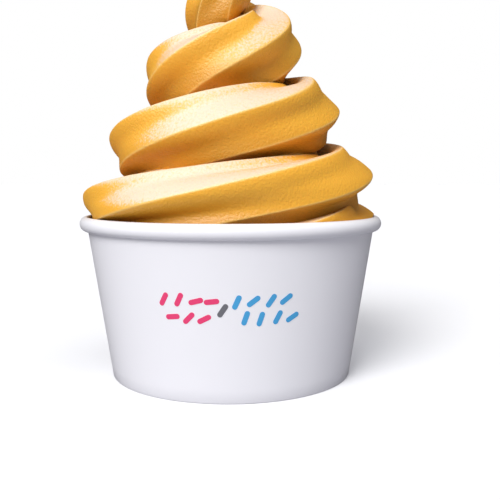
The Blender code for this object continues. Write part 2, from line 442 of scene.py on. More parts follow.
def oval_arc(middle: tuple[float, float], half_width: float, half_height: float,
             start_deg: float, end_deg: float, steps: int) -> Profile:
    """Return points along an oval arc.

    Args:
        middle: The oval's middle as (radius, height).
        half_width: Half its width.
        half_height: Half its height.
        start_deg: The angle of the first point.
        end_deg: The angle of the last point.
        steps: How many steps lie between them.

    Returns:
        The points as (radius, height).
    """
    points = []
    for i in range(steps + 1):
        angle = math.radians(start_deg + (end_deg - start_deg) * i / steps)
        points.append((middle[0] + half_width * math.cos(angle),
                       middle[1] + half_height * math.sin(angle)))
    return points


def fine_grain() -> bpy.types.NodeTree:
    """Return the shader group that all finishes share: a fine grain over broad, soft clouds.

    Returns:
        The group. It puts out a colour and a roughness that vary, and a height for a Bump node.
    """
    name = "Fine Grain"
    if name in bpy.data.node_groups:
        return bpy.data.node_groups[name]
    inputs = {"Vector": "Vector", "Grain Scale": "Float", "Cloud Scale": "Float", "Color": "Color",
              "Cloud Color": "Color", "Cloud Share": "Float", "Roughness": "Float",
              "Roughness Spread": "Float"}
    outputs = {"Color": "Color", "Roughness": "Float", "Height": "Float"}
    tree = new_tree(name, "ShaderNodeTree", inputs, outputs)
    sheet = NodeSheet(tree)
    given = sheet.terms("NodeGroupInput")
    grain = sheet.noise(given["Vector"], given["Grain Scale"], 2.0)
    cloud = sheet.noise(given["Vector"], given["Cloud Scale"], 3.0)
    color = sheet.mix(cloud * given["Cloud Share"], given["Color"], given["Cloud Color"])
    roughness = given["Roughness"] + (grain - 0.5) * given["Roughness Spread"]
    sheet.add("NodeGroupOutput", {"Color": color, "Roughness": roughness, "Height": grain})
    return tree


@dataclass(frozen=True)
class Finish:
    """A surface finish: its colour, its gloss and its grain."""

    name: str
    color: Color
    cloud_color: Color
    cloud_share: float
    cloud_scale: float
    roughness: float
    roughness_spread: float
    grain_scale: float
    grain_height: float
    specular: float = 0.5
    coat: float = 0.0
    coat_roughness: float = 0.3
    subsurface: float = 0.0
    subsurface_radius: tuple[float, float, float] = (1.0, 1.0, 1.0)

    def start(self) -> tuple[bpy.types.Material, NodeSheet, bpy.types.Node, dict[str, Term]]:
        """Write the nodes that every finish has.

        Returns:
            The material, its sheet, its Principled shader and its grain's outputs.
        """
        material = bpy.data.materials.new(self.name)
        material.use_nodes = True
        sheet = NodeSheet(material.node_tree)
        shader = material.node_tree.nodes["Principled BSDF"]
        grain = sheet.terms("ShaderNodeGroup", {
            "Vector": sheet.add("ShaderNodeTexCoord").outputs["Object"], "Grain Scale": self.grain_scale,
            "Cloud Scale": self.cloud_scale, "Color": (*self.color, 1.0),
            "Cloud Color": (*self.cloud_color, 1.0), "Cloud Share": self.cloud_share,
            "Roughness": self.roughness, "Roughness Spread": self.roughness_spread,
        }, node_tree=fine_grain())
        bump = sheet.terms("ShaderNodeBump", {"Height": grain["Height"], "Strength": 1.0,
                                              "Distance": self.grain_height})
        for label, value in (("Metallic", 0.0), ("Specular IOR Level", self.specular),
                             ("Coat Weight", self.coat), ("Coat Roughness", self.coat_roughness),
                             ("Subsurface Weight", self.subsurface), ("Subsurface Scale", 1.0),
                             ("Subsurface Radius", self.subsurface_radius),
                             ("Base Color", grain["Color"]), ("Roughness", grain["Roughness"]),
                             ("Normal", bump["Normal"])):
            sheet.feed(shader.inputs[label], value)
        return material, sheet, shader, grain

    def material(self) -> bpy.types.Material:
        """Return the finish as a material."""
        return self.start()[0]


@dataclass(frozen=True, kw_only=True)
class YogurtFinish(Finish):
    """Frozen yogurt with painted light mixed into its gold.

    Painted highlights lie on the faces that look up towards the light and along the crests, and
    painted shade lies on the undersides and in the hollows. The swirl's mesh carries the masks of
    the crests, the undersides and the hollows as attributes, each from zero to one.
    """

    # Painted shade on the undersides and in the hollows; painted highlights on the faces that look towards
    # the light and along the crests.
    underside_color: Color
    underside_share: float
    bloom_color: Color
    bloom_share: float
    bloom_side: tuple[float, float, float]
    bloom_start: float
    bloom_full: float
    bloom_grain: float
    crest_color: Color
    crest_share: float
    hollow_color: Color
    hollow_share: float

    def bloom(self, sheet: NodeSheet, grain: Term) -> Term:
        """Write how much painted highlight lies on each face, by how far it faces the light's side.

        Args:
            sheet: The material's sheet.
            grain: The grain's height, which breaks the painted highlight up.

        Returns:
            The painted highlight's share, from zero to its most.
        """
        normal = sheet.add("ShaderNodeNewGeometry").outputs["Normal"]
        facing = sheet.terms("ShaderNodeVectorMath", {0: normal, 1: self.bloom_side},
                             operation="DOT_PRODUCT")["Value"]
        broken = facing + (grain - 0.5) * self.bloom_grain
        return sheet.smooth_step(broken, self.bloom_start, self.bloom_full, self.bloom_share)

    def material(self) -> bpy.types.Material:
        """Write the finish with its painted highlights and its painted shade.

        Returns:
            The material.
        """
        material, sheet, shader, grain = self.start()
        crest, hollow, underside = (
            sheet.terms("ShaderNodeAttribute", attribute_name=name)["Fac"]
            for name in ("crest", "hollow", "underside"))
        bloom = self.bloom(sheet, grain["Height"]) * (1.0 - underside)
        color: object = grain["Color"]
        # Over the gold: painted shade on the undersides, a painted highlight on the faces turned to the
        # light, painted highlights along the crests and painted shade in the hollows.
        for share, other in ((underside * self.underside_share, self.underside_color),
                             (bloom, self.bloom_color),
                             (crest * self.crest_share, self.crest_color),
                             (hollow * self.hollow_share, self.hollow_color)):
            color = sheet.mix(share, color, (*other, 1.0))
        sheet.feed(shader.inputs["Base Color"], color)
        return material


@dataclass(frozen=True, kw_only=True)
class FloorFinish(Finish):
    """A plain floor that looks pale to the camera and sends less light back onto the object."""

    bounce_color: Color

    def material(self) -> bpy.types.Material:
        """Write the finish with its two colours.

        Returns:
            The material.
        """
        material, sheet, shader, grain = self.start()
        seen = sheet.terms("ShaderNodeLightPath")["Is Camera Ray"]
        sheet.feed(shader.inputs["Base Color"],
                   sheet.mix(seen, (*self.bounce_color, 1.0), grain["Color"]))
        return material


WHITE_PAPER = Finish(
    name="white_paper", color=screen_color(241, 240, 243), cloud_color=screen_color(236, 235, 240),
    cloud_share=0.5, cloud_scale=45.0, roughness=0.36, roughness_spread=0.12, grain_scale=1600.0,
    grain_height=0.004 * MM, specular=0.45, coat=0.15, coat_roughness=0.25)
# The yogurt's gold and clouds are its own colour; its other colours are painted shade on the undersides and
# in the hollows and painted highlights on the upward faces and the crests.
GOLDEN_YOGURT = YogurtFinish(
    name="golden_yogurt", color=screen_color(246, 177, 51), cloud_color=screen_color(249, 184, 60),
    cloud_share=0.6, cloud_scale=70.0, roughness=0.45, roughness_spread=0.2, grain_scale=1500.0,
    grain_height=0.25 * MM, specular=0.5, subsurface=0.05,
    subsurface_radius=(1.5 * MM, 0.6 * MM, 0.2 * MM),
    underside_color=screen_color(180, 122, 28), underside_share=0.6,
    bloom_color=screen_color(232, 217, 200), bloom_share=0.8, bloom_side=(-0.27, -0.56, 0.783),
    bloom_start=0.72, bloom_full=0.98, bloom_grain=0.45,
    crest_color=screen_color(250, 210, 126), crest_share=0.6,
    hollow_color=screen_color(116, 74, 16), hollow_share=0.85)
PALE_FLOOR = FloorFinish(
    name="pale_floor", color=screen_color(243, 243, 244), cloud_color=screen_color(242, 242, 244),
    cloud_share=0.4, cloud_scale=6.0, roughness=0.8, roughness_spread=0.05, grain_scale=300.0,
    grain_height=0.0, specular=0.0, bounce_color=screen_color(172, 172, 179))


class Ink(Enum):
    """The print's three colours."""

    PINK = screen_color(236, 66, 118)
    GREY = screen_color(112, 112, 118)
    BLUE = screen_color(72, 164, 218)

    def finish(self) -> Finish:
        """Return this ink's finish, with clouds that are a little darker."""
        return Finish(
            name=f"{self.name.lower()}_ink", color=self.value,
            cloud_color=tuple(INK_CLOUD_SHADE * part for part in self.value),
            cloud_share=0.5, cloud_scale=60.0, roughness=0.4, roughness_spread=0.1, grain_scale=1600.0,
            grain_height=0.003 * MM, specular=0.4, coat=0.1)


@dataclass
class PaperCup:
    """The white paper cup: its conical wall with a rolled rim, and its recessed base."""

    height: float = 50.7 * MM
    rim_radius: float = 47.99 * MM
    wall_at_table: float = 38.5 * MM
    wall_at_rim: float = 45.5 * MM
    wall_top: float = 46.4 * MM
    paper: float = 0.6 * MM
    gap: float = 0.3 * MM
    roll_half_width: float = 2.0 * MM
    roll_half_height: float = 2.2 * MM
    roll_end_deg: float = -97.0
    lip_height: float = 1.44 * MM
    base_height: float = 7.0 * MM
    flap_height: float = 5.5 * MM
    edge_rounding: float = 0.25 * MM
    lap_step: float = 0.22 * MM
    lap_middle_deg: float = 97.0
    lap_half_deg: float = 5.0
    lap_rise: float = 1.6
    lap_fade_at_rim: float = 2.0 * MM
    lap_fade_at_foot: float = 1.0 * MM
    foot_chamfer: float = 0.3
    wall_steps: int = 12
    roll_steps: int = 28
    sides: int = 240
    sharp_deg: float = 35.0

    def wall_radius(self, height: float) -> float:
        """Return the wall's outer radius at a height above the table."""
        return self.wall_at_table + (self.wall_at_rim - self.wall_at_table) * height / self.wall_top

    def inner_lip(self, clearance: float, steps: int = 10) -> Profile:
        """Return the lip's inner rounding from the rim's top down to the wall's inner face.

        Args:
            clearance: How far the rounding stands off the paper.
            steps: How many steps it has.

        Returns:
            Its points as (radius, height).
        """
        middle = (self.rim_radius - self.roll_half_width, self.height - self.lip_height)
        half_width = middle[0] - self.wall_radius(middle[1]) + self.paper + clearance
        return oval_arc(middle, half_width, self.lip_height + clearance, 90.0, 180.0, steps)

    def lap(self, angle_deg: float, height: float) -> float:
        """Return how far the side seam's overlap stands proud of the wall.

        Args:
            angle_deg: The angle round the cup; 90 is its back.
            height: The height above the table.

        Returns:
            The step, with a crisp side and a soft side, faded out near the rim and the foot.
        """
        away = angle_deg - self.lap_middle_deg
        if not -self.lap_half_deg < away < self.lap_half_deg:
            return 0.0
        from_soft_side = (away + self.lap_half_deg) / (2.0 * self.lap_half_deg)
        fade = min(1.0, (self.wall_top - height) / self.lap_fade_at_rim, height / self.lap_fade_at_foot)
        return self.lap_step * min(1.0, self.lap_rise * from_soft_side) * max(fade, 0.0)

    def wall_mesh(self) -> bpy.types.Mesh:
        """Turn the wall with its rolled rim and the foot folded up inside the base's skirt.

        Returns:
            The wall's mesh.
        """
        middle = (self.rim_radius - self.roll_half_width, self.height - self.roll_half_height)
        roll = oval_arc(middle, self.roll_half_width, self.roll_half_height, 90.0, self.roll_end_deg,
                        self.roll_steps)
        wall = []
        for i in range(self.wall_steps + 1):
            height = self.wall_top + (self.edge_rounding - self.wall_top) * i / self.wall_steps
            wall.append((self.wall_radius(height), height))
        channel = self.paper + 2.0 * self.gap
        foot_inner = self.wall_radius(0.0) - self.paper - channel - self.paper
        flap_inner = self.wall_radius(self.flap_height) - self.paper - channel - self.paper
        chamfer = self.foot_chamfer * self.edge_rounding
        foot = [(self.wall_radius(0.0) - chamfer, chamfer),
                (self.wall_radius(0.0) - self.edge_rounding, 0.0),
                (foot_inner + self.edge_rounding, 0.0), (foot_inner, self.edge_rounding),
                (flap_inner, self.flap_height), (flap_inner + self.paper, self.flap_height),
                (foot_inner + self.paper, self.paper),
                (self.wall_radius(self.paper) - self.paper, self.paper)]
        inside = list(reversed(self.inner_lip(0.0)))
        profile = roll + wall + foot + inside[:-1]
        mesh = turned_mesh("cup_shell", profile, self.sides, self.lap_on_outside)
        smooth(mesh, self.sharp_deg)
        return mesh

    def lap_on_outside(self, angle_deg: float, height: float) -> float:
        """Return the seam's step for the wall's outer face; the roll and the foot have none."""
        if height < 2.0 * self.edge_rounding or height >= self.wall_top:
            return 0.0
        return self.lap(angle_deg, height)

    def base_mesh(self) -> bpy.types.Mesh:
        """Turn the recessed base disc with its down-turned skirt.

        Returns:
            The base's mesh.
        """
        skirt_foot = self.paper + self.gap
        top = self.wall_radius(self.base_height) - self.paper - self.gap
        low = self.wall_radius(skirt_foot) - self.paper - self.gap
        under = self.base_height - self.paper
        profile = [(0.0, self.base_height), (0.5 * top, self.base_height), (top, self.base_height),
                   (low, skirt_foot), (low - self.paper, skirt_foot),
                   (self.wall_radius(under) - 2.0 * self.paper - self.gap, under),
                   (0.5 * top, under), (0.0, under)]
        mesh = turned_mesh("cup_floor", profile, self.sides)
        smooth(mesh, self.sharp_deg)
        return mesh

    def build(self) -> list[bpy.types.Object]:
        """Build both paper pieces in place of their CAD nodes.

        Returns:
            The wall and the base.
        """
        material = WHITE_PAPER.material()
        pieces = []
        for mesh, node in ((self.wall_mesh(), "cup_wall"), (self.base_mesh(), "cup_base")):
            mesh.materials.append(material)
            piece = new_object(mesh.name, mesh)
            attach(piece, BODY)
            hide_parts(node)
            pieces.append(piece)
        return pieces


@dataclass(frozen=True)
class Station:
    """One place along a swept tube: its middle, its directions and its section's size."""

    middle: Vector
    outward: Vector
    upward: Vector
    size: float
    twist: float = 0.0
    sag: float = 0.0
    sag_angle: float = 0.0
    inner_press: float = 0.0
    top_press: float = 0.0
    low_press: float = 0.0
    lean: float = 0.0


@dataclass
class RibbedTube:
    """Sweeps the swirl's ridged section along stations with one geometry node tree."""

    ridges: int = 6
    steps_per_ridge: int = 16
    crowding: float = 0.7
    groove_depth: float = 0.22
    groove_phase: float = 0.5
    groove_shift: float = 0.22
    soft_underside: float = 0.5
    crest_rounding: float = 0.035
    # Where the painted shade on the section's lower side begins and is full, as the sine of its angle.
    shade_start: float = -0.05
    shade_full: float = -0.75
    rest_flatness: float = 0.8
    inner_spread: float = math.radians(80.0)
    sag_spread: float = math.radians(60.0)
    top_angle: float = math.radians(85.0)
    top_spread: float = math.radians(60.0)
    low_angle: float = math.radians(-30.0)
    low_spread: float = math.radians(45.0)
    lean_angle: float = math.radians(75.0)
    lean_spread: float = math.radians(55.0)
    tallness: float = 1.04
    # How narrow the crest mask is, which carries the painted highlight along the crests.
    crest_sharpness: float = 7.0
    waver_middle: float = 0.55
    waver: float = 0.03
    waver_scale: float = 75.0
    ripple: float = 0.008
    ripple_scale: float = 420.0
    seed: float = 3.0
    weld: float = 0.0002 * MM
    tree: bpy.types.NodeTree | None = field(default=None, repr=False)

    VECTOR_FIELDS = ("outward", "upward")
    FLOAT_FIELDS = ("size", "twist", "sag", "sag_angle", "inner_press", "top_press", "low_press",
                    "lean")

    def sizes(self) -> dict[str, float]:
        """Return the tube's sizes by the names of the tree's inputs, such as Groove Depth."""
        names = [item.name for item in fields(self) if item.name != "tree"]
        return {name.replace("_", " ").title(): getattr(self, name) for name in names}

    def guide_mesh(self, stations: Sequence[Station]) -> bpy.types.Mesh:
        """Return a mesh of points that carries the stations' facts as attributes.

        Args:
            stations: The stations in order.

        Returns:
            A mesh with one vertex for each station.
        """
        mesh = bpy.data.meshes.new("guide")
        mesh.from_pydata([station.middle for station in stations], [], [])
        for name in self.VECTOR_FIELDS:
            layer = mesh.attributes.new(name, "FLOAT_VECTOR", "POINT")
            layer.data.foreach_set("vector", [part for s in stations for part in getattr(s, name)])
        for name in self.FLOAT_FIELDS:
            layer = mesh.attributes.new(name, "FLOAT", "POINT")
            layer.data.foreach_set("value", [getattr(s, name) for s in stations])
        return mesh

    @staticmethod
    def hump(angle: Term, middle: object, spread: object) -> Term:
        """Write a smooth hump of height one round a middle angle, and zero beyond its spread.

        Args:
            angle: The angle of each point.
            middle: The hump's middle angle.
            spread: How far the hump reaches to each side.

        Returns:
            The hump's height.
        """
        maths = angle.sheet.maths
        away = maths("ABSOLUTE", maths("WRAP", angle - middle, math.pi, -math.pi))
        height = maths("COSINE", maths("MINIMUM", away / spread, 1.0) * (0.5 * math.pi))
        return height * height

    def facts(self, sheet: NodeSheet, guide: Term, station: Term) -> dict[str, Term]:
        """Write the look-up of a station's facts.

        Args:
            sheet: The tree being written.
            guide: The guide's geometry.
            station: The station's number.

        Returns:
            Each of the guide's attributes and its position, at the station.
        """
        known = {}
        for kind, names in (("FLOAT_VECTOR", (*self.VECTOR_FIELDS, "position")),
                            ("FLOAT", self.FLOAT_FIELDS)):
            for name in names:
                value = sheet.terms("GeometryNodeInputNamedAttribute", {"Name": name}, data_type=kind)
                known[name] = sheet.terms(
                    "GeometryNodeSampleIndex",
                    {"Geometry": guide, "Value": value["Attribute"], "Index": station},
                    data_type=kind)["Value"]
        return known

    def write_tree(self) -> bpy.types.NodeTree:
        """Write the tree: a grid of stations by points, each moved to its place on the tube.

        Returns:
            The tree, with a named input for each size.
        """
        inputs = {"Guide": "Geometry", "Stations": "Int", "Material": "Material"}
        for label, size in self.sizes().items():
            inputs[label] = "Int" if isinstance(size, int) else "Float"
        tree = new_tree("Ribbed Tube", "GeometryNodeTree", inputs, {"Tube": "Geometry"})
        sheet = NodeSheet(tree)
        given = sheet.terms("NodeGroupInput")

        # Each point of the grid belongs to a station and to a step from crest to crest.
        row = given["Ridges"] * given["Steps Per Ridge"] + 1.0
        grid = sheet.add("GeometryNodeMeshGrid", {"Vertices X": given["Stations"], "Vertices Y": row})
        index = sheet.terms("GeometryNodeInputIndex")["Index"]
        station = sheet.maths("FLOOR", index / row)
        share = (index - station * row) / given["Steps Per Ridge"]
        ridge = sheet.maths("FLOOR", share)
        even = share - ridge
        wave = sheet.maths("SINE", even * (2.0 * math.pi))
        phase = even - wave * (given["Crowding"] / (2.0 * math.pi))
        known = self.facts(sheet, given["Guide"], station)

        # A groove falls to a floor that shifts round the section, and its upper side may be softer.
        pitch = 2.0 * math.pi / given["Ridges"]
        groove_middle = known["twist"] + pitch * (ridge + 0.5)
        floor = given["Groove Phase"] + given["Groove Shift"] * sheet.maths("SINE", groove_middle)
        to_floor = sheet.maths("MINIMUM", phase / floor, (1.0 - phase) / (1.0 - floor))
        crisp = to_floor * (2.0 - to_floor)
        swell = sheet.maths("SINE", to_floor * (0.5 * math.pi))
        underside = sheet.maths("GREATER_THAN", phase, floor) * given["Soft Underside"]
        fall = crisp + underside * (swell * swell - crisp)
        rounding = given["Crest Rounding"]
        rounded = sheet.maths("SQRT", fall * fall + rounding * rounding)
        groove = given["Groove Depth"] * (rounded - rounding)

        # The presses flatten the section, the sag lets it hang, and the lean turns its crests.
        upright = known["twist"] + pitch * (ridge + phase)
        lean = self.hump(upright, given["Lean Angle"], given["Lean Spread"])
        angle = upright + known["lean"] * lean
        press = known["inner_press"] * self.hump(angle, math.pi, given["Inner Spread"])
        rest = self.hump(angle, known["sag_angle"], given["Sag Spread"])
        depth = groove * (1.0 - given["Rest Flatness"] * rest)
        top = known["top_press"] * self.hump(angle, given["Top Angle"], given["Top Spread"])
        low = known["low_press"] * self.hump(angle, given["Low Angle"], given["Low Spread"])
        whole = 1.0 - (depth + press + (top + low)) + known["sag"] * rest
        across = sheet.scaled(known["outward"], sheet.maths("COSINE", angle))
        up = sheet.scaled(known["upward"], sheet.maths("SINE", angle) * given["Tallness"])
        direction = sheet.vector_sum(across, up)
        place = sheet.vector_sum(known["position"], sheet.scaled(direction, whole * known["size"]))

        # A low waver and a fine ripple keep the ridges from looking machined.
        uneven: object = 0.0
        for amount, scale, detail in (("Waver", "Waver Scale", 1.0), ("Ripple", "Ripple Scale", 2.0)):
            noise = sheet.noise(place, given[scale], detail, given["Seed"])
            uneven = uneven + (noise - given["Waver Middle"]) * given[amount]
        place = sheet.vector_sum(place, sheet.scaled(direction, uneven * known["size"]))

        # Masks for painted light: a painted highlight along the crests and painted shade on the
        # section's lower side.
        crest = sheet.maths("MAXIMUM", 1.0 - crisp * given["Crest Sharpness"], 0.0)
        below = sheet.smooth_step(sheet.maths("SINE", angle), given["Shade Start"], given["Shade Full"])
        shape = sheet.add("GeometryNodeSetPosition", {"Geometry": grid.outputs["Mesh"], "Position": place})
        for name, value in (("crest", crest), ("underside", below)):
            shape = sheet.add("GeometryNodeStoreNamedAttribute",
                              {"Geometry": shape.outputs[0], "Name": name, "Value": value},
                              data_type="FLOAT", domain="POINT")
        for kind, more in (("GeometryNodeMergeByDistance", {"Distance": given["Weld"]}),
                           ("GeometryNodeRealizeInstances", {}),
                           ("GeometryNodeSetMaterial", {"Material": given["Material"]})):
            shape = sheet.add(kind, {"Geometry": shape.outputs[0], **more})
        sheet.add("NodeGroupOutput", {"Tube": shape.outputs[0]})
        return tree

    def sweep(self, name: str, stations: Sequence[Station], material: bpy.types.Material,
              **changes: float) -> bpy.types.Object:
        """Sweep the section along stations.

        Args:
            name: The new object's name.
            stations: The stations in order; a size of zero closes an end to a point.
            material: The tube's material.
            **changes: Sizes that differ from this object's own, by field name.

        Returns:
            A closed tube.
        """
        if self.tree is None:
            self.tree = self.write_tree()
        sizes = replace(self, **changes).sizes()
        inputs = {"Stations": len(stations), "Material": material, **sizes}
        return new_object(name, run_nodes(name, self.guide_mesh(stations), self.tree, inputs))


@dataclass
class YogurtSwirl:
    """The frozen yogurt: the filling in the cup and the rope that winds up into a swirl."""

    cup: PaperCup
    coil_radius: tuple[float, ...] = mm(42.0, 36.5, 37.3, 33.4, 28.3, 23.0, 17.3, 10.4, 5.4, 2.6, 4.0)
    coil_height: tuple[float, ...] = mm(31.5, 44.8, 51.7, 62.3, 72.5, 82.9, 93.4, 104.6, 116.0, 132.0,
                                        147.0)
    rope_radius: tuple[float, ...] = mm(10.0, 11.3, 11.3, 11.3, 11.1, 11.0, 11.3, 11.4, 9.1, 5.2, 0.3)
    twist_deg: tuple[float, ...] = (-368.0, -264.0, -99.6, 17.6, 128.5, 254.1, 389.7, 542.6, 725.0,
                                    905.0, 1085.0)
    top_press: tuple[float, ...] = (0.0, 0.0, 0.16, 0.04, 0.16, -0.05, 0.14, 0.0, 0.0, 0.0, 0.0)
    low_press: tuple[float, ...] = (0.0, 0.0, 0.25, 0.14, 0.0, 0.0, 0.0, 0.0, 0.0, 0.0, 0.0)
    lean_deg: tuple[float, ...] = (0.0, 0.0, 0.0, 14.0, 0.0, 20.0, 0.0, 12.0, 0.0, 0.0, 0.0)
    offset_x: float = 0.4 * MM
    first_turn: float = 0.12
    last_turn: float = 4.85
    stations_per_turn: int = 180
    turn_step: float = 0.001
    tip_rounding: float = 0.06
    foot_rounding: float = 0.02
    crest_inset: float = 0.996
    inner_most: float = 0.3
    closed_at: float = 0.6
    sag_most: float = 0.4
    sag_last_turn: float = 4.3
    tier_gap: float = 0.5 * MM
    web_last_turn: float = 3.0
    web_share: float = 0.3
    web_inset: float = 5.0 * MM
    sag_inwards_deg: float = 30.0
    fill_level: float = 45.5 * MM
    fill_ledge: float = 1.0 * MM
    core_spread: float = -0.15
    core_top_turn: float = 3.9
    core_point_turn: float = 4.0
    core_steps: int = 32
    core_search: int = 100
    trim_step: float = 0.05 * MM
    weld: float = 0.005 * MM
    cutter_reach: float = 12.0 * MM
    sides: int = 180
    sharp_deg: float = 48.0
    # How enclosed each point is, by rays cast over it, sets the painted shade in the hollows.
    hollow_rays: int = 20
    hollow_off: float = 0.05 * MM
    hollow_reach: float = 12.0 * MM
    hollow_start: float = 0.38
    hollow_full: float = 0.75
    soft_passes: int = 8

    def __post_init__(self) -> None:
        """Make the smooth curves through the half-turn values."""
        self.reach = SmoothCurve(self.coil_radius)
        self.level = SmoothCurve(self.coil_height)
        self.thickness = SmoothCurve(self.rope_radius)
        self.twist = SmoothCurve(self.twist_deg)
        self.press = SmoothCurve(self.top_press)
        self.rim_press = SmoothCurve(self.low_press)
        self.lean = SmoothCurve(self.lean_deg)

    @staticmethod
    def heading(turn: float) -> float:
        """Return the angle round the cup at a turn, in radians; whole turns are on the left."""
        return math.pi * (1.0 + 2.0 * turn)

    def outward(self, turn: float) -> Vector:
        """Return the flat direction away from the swirl's axis at a turn."""
        heading = self.heading(turn)
        return Vector((math.cos(heading), math.sin(heading), 0.0))

    def centre(self, turn: float) -> Vector:
        """Return the point of the rope's middle line at a turn.

        Args:
            turn: The place along the rope.

        Returns:
            The point.
        """
        heading = self.heading(turn)
        reach = self.reach(turn)
        return Vector((self.offset_x + reach * math.cos(heading), reach * math.sin(heading),
                       self.level(turn)))

    def rope_sag(self, turn: float) -> tuple[float, float]:
        """Return how far the underside sags onto the tier below.

        Args:
            turn: The place along the rope.

        Returns:
            The sag as a share of the rope's radius, and its angle in radians.
        """
        if turn < 1.0:
            return 0.0, -0.5 * math.pi
        across = self.reach(turn - 1.0) - self.reach(turn)
        down = self.level(turn) - self.level(turn - 1.0)
        size = self.thickness(turn)
        spare = math.hypot(across, down) - size - self.thickness(turn - 1.0) - self.tier_gap
        share = held(spare / size, self.sag_most)
        share *= held((self.sag_last_turn - turn) / SmoothCurve.SPACING)
        return share, -math.atan2(down, across) - math.radians(self.sag_inwards_deg)

    def inner_press(self, turn: float) -> float:
        """Return how flat the rope's inner side lies, which fades where the coil closes up."""
        openness = self.reach(turn) / self.thickness(turn)
        return self.inner_most * held((openness - self.closed_at) / self.closed_at)

    def end_size(self, turn: float, last: float) -> float:
        """Return the factor that rounds the tube's two ends off to points.

        Args:
            turn: The place along the tube.
            last: The tube's last turn.

        Returns:
            One along the tube, falling to zero at its ends.
        """
        from_start = (turn - self.first_turn) / self.foot_rounding
        from_end = held(min(from_start, (last - turn) / self.tip_rounding))
        return math.sqrt(max(1.0 - (1.0 - from_end) ** 2, 0.0))

    def rope_station(self, turn: float) -> Station:
        """Work out the rope's station at a turn.

        Args:
            turn: The place along the rope.

        Returns:
            The station, whose section stands square to the middle line.
        """
        outward = self.outward(turn)
        tangent = (self.centre(turn + self.turn_step) - self.centre(turn - self.turn_step)).normalized()
        outward = (outward - tangent * outward.dot(tangent)).normalized()
        sag, sag_angle = self.rope_sag(turn)
        size = self.thickness(turn) * self.crest_inset * self.end_size(turn, self.last_turn)
        return Station(self.centre(turn), outward, outward.cross(tangent), size,
                       math.radians(self.twist(turn)), sag, sag_angle, self.inner_press(turn),
                       self.press(turn), self.rim_press(turn), math.radians(self.lean(turn)))

    def web_station(self, turn: float) -> Station:
        """Work out the station of the web that joins a tier with the next one up.

        Args:
            turn: The place along the lower tier.

        Returns:
            The station, whose section stands upright.
        """
        outward = self.outward(turn)
        middle = (self.centre(turn) + self.centre(turn + 1.0)) / 2.0 - outward * self.web_inset
        size = self.web_share * self.thickness(turn) * self.end_size(turn, self.web_last_turn)
        return Station(middle, outward, Vector((0.0, 0.0, 1.0)), size)

    def stations(self, last: float, station: Callable[[float], Station]) -> list[Station]:
        """Return evenly spaced stations from the first turn to a last one.

        Args:
            last: The last turn.
            station: Returns the station at a turn.

        Returns:
            The stations in order.
        """
        length = last - self.first_turn
        count = round(length * self.stations_per_turn)
        return [station(self.first_turn + length * i / count) for i in range(count + 1)]

    def filling_mesh(self) -> bpy.types.Mesh:
        """Turn the filling in the cup with the core that rises inside the tiers.

        Returns:
            The filling's mesh.
        """
        clear = self.cup.paper + self.cup.gap + self.trim_step
        outside = self.cup.wall_radius(self.fill_level) - clear
        foot = self.cup.wall_radius(self.cup.base_height) - clear
        bottom = self.cup.base_height + self.cup.gap
        profile = [(0.0, self.level(self.core_point_turn))]
        turns = [i / self.core_search for i in range(self.core_search)]
        low_turn = next(turn for turn in turns if self.level(turn) > self.fill_level)
        for i in range(self.core_steps + 1):
            turn = self.core_top_turn + (low_turn - self.core_top_turn) * i / self.core_steps
            radius = self.reach(turn) + self.core_spread * self.thickness(turn)
            profile.append((min(radius, outside - self.fill_ledge), self.level(turn)))
        profile += [(outside, self.fill_level), (foot, bottom), (0.0, bottom)]
        return turned_mesh("yogurt_swirl", profile, self.sides)

    def clearance_mesh(self) -> bpy.types.Mesh:
        """Turn the cutter that keeps the yogurt clear of the wall and the rim.

        Returns:
            The cutter's mesh.
        """
        low = 0.5 * self.cup.base_height
        beyond = self.cup.rim_radius + self.cutter_reach
        lip = list(reversed(self.cup.inner_lip(self.cup.gap)))
        profile = [(beyond, self.cup.height + self.cup.gap), (beyond, low),
                   (self.cup.wall_radius(low) - self.cup.paper - self.cup.gap, low)] + lip
        return turned_mesh("clearance", profile, self.sides)

    @staticmethod
    def combine(body: bpy.types.Object, other: bpy.types.Object, operation: str) -> None:
        """Join another closed shape to a body or cut it away, and remove that shape.

        Args:
            body: The object that changes.
            other: The object that is used up.
            operation: UNION or DIFFERENCE.
        """
        modifier = body.modifiers.new("Combine", "BOOLEAN")
        modifier.operation = operation
        modifier.solver = "MANIFOLD"
        modifier.object = other
        body.data = shaped_mesh(body)
        bpy.data.objects.remove(other)

    def keep_outer_skin(self, mesh: bpy.types.Mesh) -> None:
        """Weld near points and drop the skins of sealed hollows and loose scraps.

        Args:
            mesh: The joined mesh.
        """
        shape = bmesh.new()
        shape.from_mesh(mesh)
        bmesh.ops.remove_doubles(shape, verts=shape.verts, dist=self.weld)
        bmesh.ops.dissolve_degenerate(shape, edges=shape.edges, dist=self.weld)
        unseen = set(shape.faces)
        skins = []
        while unseen:
            skin = {unseen.pop()}
            edge_of_skin = list(skin)
            while edge_of_skin:
                face = edge_of_skin.pop()
                for edge in face.edges:
                    for other in edge.link_faces:
                        if other in unseen:
                            unseen.remove(other)
                            skin.add(other)
                            edge_of_skin.append(other)
            skins.append(skin)
        outer = max(skins, key=lambda skin: sum(face.calc_area() for face in skin))
        inner = [face for skin in skins if skin is not outer for face in skin]
        bmesh.ops.delete(shape, geom=inner, context="FACES")
        open_edges = sum(1 for edge in shape.edges if len(edge.link_faces) != 2)
        log.info("swirl skins %d, edges that are not between two faces %d", len(skins), open_edges)
        shape.to_mesh(mesh)
        shape.free()

